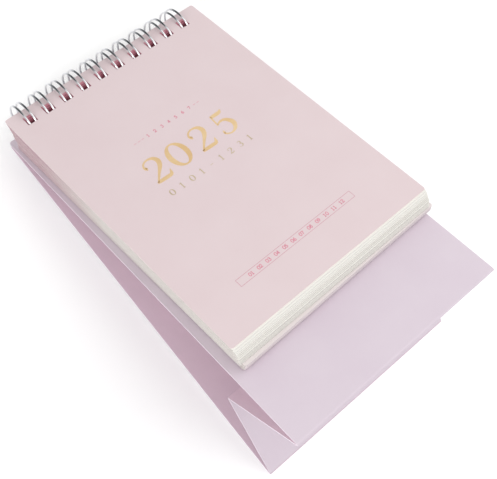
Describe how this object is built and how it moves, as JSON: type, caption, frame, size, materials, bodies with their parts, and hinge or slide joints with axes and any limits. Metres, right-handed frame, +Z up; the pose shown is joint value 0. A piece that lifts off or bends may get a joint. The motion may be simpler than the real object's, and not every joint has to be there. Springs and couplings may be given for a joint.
{
  "type": "desk calendar",
  "caption": "Desk calendar: punched leaves on a twin-loop wire, on a folding card stand with a V-folded base, shown lying half opened on its back.",
  "frame": {"origin": "on the table under the middle of the calendar as it lies on its back, half opened", "axes": "+X along the wire, +Y towards the wire, +Z up from the table"},
  "size_m": [0.0982, 0.1746, 0.0589],
  "materials": {
    "stand_card": "matte, lilac, slightly mottled",
    "binding_wire": "bright drawn wire",
    "cover_paper": "matte coated, pale pink",
    "leaf_paper": "uncoated, off-white",
    "lower_leaf_paper": "uncoated, warm off-white"
  },
  "bodies": {
    "front_stand": {"stand_front_panel": "stand_card", "twin_loop_wire": "binding_wire"},
    "back_stand": {"stand_back_panel": "stand_card"},
    "base_front": {"base_front_half": "stand_card"},
    "base_back": {"base_back_half": "stand_card"},
    "cover": {"cover_leaf": "cover_paper"},
    "leaf_01_body": {"leaf_01": "leaf_paper"},
    "leaf_02_body": {"leaf_02": "leaf_paper"},
    "leaf_03_body": {"leaf_03": "leaf_paper"},
    "leaf_04_body": {"leaf_04": "leaf_paper"},
    "leaf_05_body": {"leaf_05": "leaf_paper"},
    "leaf_06_body": {"leaf_06": "leaf_paper"},
    "leaf_07_body": {"leaf_07": "leaf_paper"},
    "leaf_08_body": {"leaf_08": "leaf_paper"},
    "leaf_09_body": {"leaf_09": "leaf_paper"},
    "leaf_10_body": {"leaf_10": "leaf_paper"},
    "leaf_11_body": {"leaf_11": "leaf_paper"},
    "leaf_12_body": {"leaf_12": "leaf_paper"},
    "leaf_13_body": {"leaf_13": "lower_leaf_paper"},
    "leaf_14_body": {"leaf_14": "lower_leaf_paper"},
    "leaf_15_body": {"leaf_15": "lower_leaf_paper"},
    "leaf_16_body": {"leaf_16": "lower_leaf_paper"},
    "leaf_17_body": {"leaf_17": "lower_leaf_paper"},
    "leaf_18_body": {"leaf_18": "lower_leaf_paper"},
    "leaf_19_body": {"leaf_19": "lower_leaf_paper"}
  },
  "joints": [
    {"name": "stand_fold", "type": "hinge", "parent": "front_stand", "child": "back_stand", "pos_m": [-0.00085, 0.07577, 0.00544], "axis": [1, 0, 0], "range_deg": [-15.3, 8.5]},
    {"name": "base_front_fold", "type": "hinge", "parent": "front_stand", "child": "base_front", "pos_m": [-0.00085, -0.07962, 0.05757], "axis": [-1, 0, 0], "range_deg": [-33.1, 18.4]},
    {"name": "base_back_fold", "type": "hinge", "parent": "back_stand", "child": "base_back", "pos_m": [-0.00085, -0.08656, 0.00075], "axis": [1, 0, 0], "range_deg": [-33.1, 18.4]},
    {"name": "leaves_turn", "type": "hinge", "parent": "front_stand", "child": "leaf_01_body", "pos_m": [-0.0016, 0.07702, 0.01009], "axis": [-0.9999, -0.0106, 0.0036], "range_deg": [0, 85]},
    {"name": "leaf_02_turn", "type": "hinge", "parent": "front_stand", "child": "leaf_02_body", "pos_m": [-0.0016, 0.07702, 0.01009], "axis": [-0.9999, -0.0106, 0.0036], "range_deg": [0, 80.8]},
    {"name": "leaf_03_turn", "type": "hinge", "parent": "front_stand", "child": "leaf_03_body", "pos_m": [-0.0016, 0.07702, 0.01009], "axis": [-0.9999, -0.0106, 0.0036], "range_deg": [0, 76.55]},
    {"name": "leaf_04_turn", "type": "hinge", "parent": "front_stand", "child": "leaf_04_body", "pos_m": [-0.0016, 0.07702, 0.01009], "axis": [-0.9999, -0.0106, 0.0036], "range_deg": [0, 72.3]},
    {"name": "leaf_05_turn", "type": "hinge", "parent": "front_stand", "child": "leaf_05_body", "pos_m": [-0.0016, 0.07702, 0.01009], "axis": [-0.9999, -0.0106, 0.0036], "range_deg": [0, 68.05]},
    {"name": "leaf_06_turn", "type": "hinge", "parent": "front_stand", "child": "leaf_06_body", "pos_m": [-0.0016, 0.07702, 0.01009], "axis": [-0.9999, -0.0106, 0.0036], "range_deg": [0, 63.8]},
    {"name": "leaf_07_turn", "type": "hinge", "parent": "front_stand", "child": "leaf_07_body", "pos_m": [-0.0016, 0.07702, 0.01009], "axis": [-0.9999, -0.0106, 0.0036], "range_deg": [0, 59.55]},
    {"name": "leaf_08_turn", "type": "hinge", "parent": "front_stand", "child": "leaf_08_body", "pos_m": [-0.0016, 0.07702, 0.01009], "axis": [-0.9999, -0.0106, 0.0036], "range_deg": [0, 55.3]},
    {"name": "leaf_09_turn", "type": "hinge", "parent": "front_stand", "child": "leaf_09_body", "pos_m": [-0.0016, 0.07702, 0.01009], "axis": [-0.9999, -0.0106, 0.0036], "range_deg": [0, 51.05]},
    {"name": "leaf_10_turn", "type": "hinge", "parent": "front_stand", "child": "leaf_10_body", "pos_m": [-0.0016, 0.07702, 0.01009], "axis": [-0.9999, -0.0106, 0.0036], "range_deg": [0, 46.8]},
    {"name": "leaf_11_turn", "type": "hinge", "parent": "front_stand", "child": "leaf_11_body", "pos_m": [-0.0016, 0.07702, 0.01009], "axis": [-0.9999, -0.0106, 0.0036], "range_deg": [0, 42.55]},
    {"name": "leaf_12_turn", "type": "hinge", "parent": "front_stand", "child": "leaf_12_body", "pos_m": [-0.0016, 0.07702, 0.01009], "axis": [-0.9999, -0.0106, 0.0036], "range_deg": [0, 38.3]},
    {"name": "leaf_13_turn", "type": "hinge", "parent": "front_stand", "child": "leaf_13_body", "pos_m": [-0.0016, 0.07702, 0.01009], "axis": [-0.9999, -0.0106, 0.0036], "range_deg": [0, 34.05]},
    {"name": "leaf_14_turn", "type": "hinge", "parent": "front_stand", "child": "leaf_14_body", "pos_m": [-0.0016, 0.07702, 0.01009], "axis": [-0.9999, -0.0106, 0.0036], "range_deg": [0, 29.8]},
    {"name": "leaf_15_turn", "type": "hinge", "parent": "front_stand", "child": "leaf_15_body", "pos_m": [-0.0016, 0.07702, 0.01009], "axis": [-0.9999, -0.0106, 0.0036], "range_deg": [0, 25.55]},
    {"name": "leaf_16_turn", "type": "hinge", "parent": "front_stand", "child": "leaf_16_body", "pos_m": [-0.0016, 0.07702, 0.01009], "axis": [-0.9999, -0.0106, 0.0036], "range_deg": [0, 21.3]},
    {"name": "leaf_17_turn", "type": "hinge", "parent": "front_stand", "child": "leaf_17_body", "pos_m": [-0.0016, 0.07702, 0.01009], "axis": [-0.9999, -0.0106, 0.0036], "range_deg": [0, 17.05]},
    {"name": "leaf_18_turn", "type": "hinge", "parent": "front_stand", "child": "leaf_18_body", "pos_m": [-0.0016, 0.07702, 0.01009], "axis": [-0.9999, -0.0106, 0.0036], "range_deg": [0, 12.8]},
    {"name": "leaf_19_turn", "type": "hinge", "parent": "front_stand", "child": "leaf_19_body", "pos_m": [-0.0016, 0.07702, 0.01009], "axis": [-0.9999, -0.0106, 0.0036], "range_deg": [0, 8.55]},
    {"name": "cover_turn", "type": "hinge", "parent": "leaf_01_body", "child": "cover", "pos_m": [-0.0016, 0.07702, 0.01009], "axis": [-0.9999, -0.0106, 0.0036], "range_deg": [0, 95]}
  ],
  "couplings": [
    {"joint": "base_front_fold", "follows": "stand_fold", "ratio": 2.16},
    {"joint": "base_back_fold", "follows": "stand_fold", "ratio": 2.16},
    {"joint": "leaf_02_turn", "follows": "leaves_turn", "ratio": 0.95},
    {"joint": "leaf_03_turn", "follows": "leaves_turn", "ratio": 0.9},
    {"joint": "leaf_04_turn", "follows": "leaves_turn", "ratio": 0.85},
    {"joint": "leaf_05_turn", "follows": "leaves_turn", "ratio": 0.8},
    {"joint": "leaf_06_turn", "follows": "leaves_turn", "ratio": 0.75},
    {"joint": "leaf_07_turn", "follows": "leaves_turn", "ratio": 0.7},
    {"joint": "leaf_08_turn", "follows": "leaves_turn", "ratio": 0.65},
    {"joint": "leaf_09_turn", "follows": "leaves_turn", "ratio": 0.6},
    {"joint": "leaf_10_turn", "follows": "leaves_turn", "ratio": 0.55},
    {"joint": "leaf_11_turn", "follows": "leaves_turn", "ratio": 0.5},
    {"joint": "leaf_12_turn", "follows": "leaves_turn", "ratio": 0.45},
    {"joint": "leaf_13_turn", "follows": "leaves_turn", "ratio": 0.4},
    {"joint": "leaf_14_turn", "follows": "leaves_turn", "ratio": 0.35},
    {"joint": "leaf_15_turn", "follows": "leaves_turn", "ratio": 0.3},
    {"joint": "leaf_16_turn", "follows": "leaves_turn", "ratio": 0.25},
    {"joint": "leaf_17_turn", "follows": "leaves_turn", "ratio": 0.2},
    {"joint": "leaf_18_turn", "follows": "leaves_turn", "ratio": 0.15},
    {"joint": "leaf_19_turn", "follows": "leaves_turn", "ratio": 0.1}
  ]
}
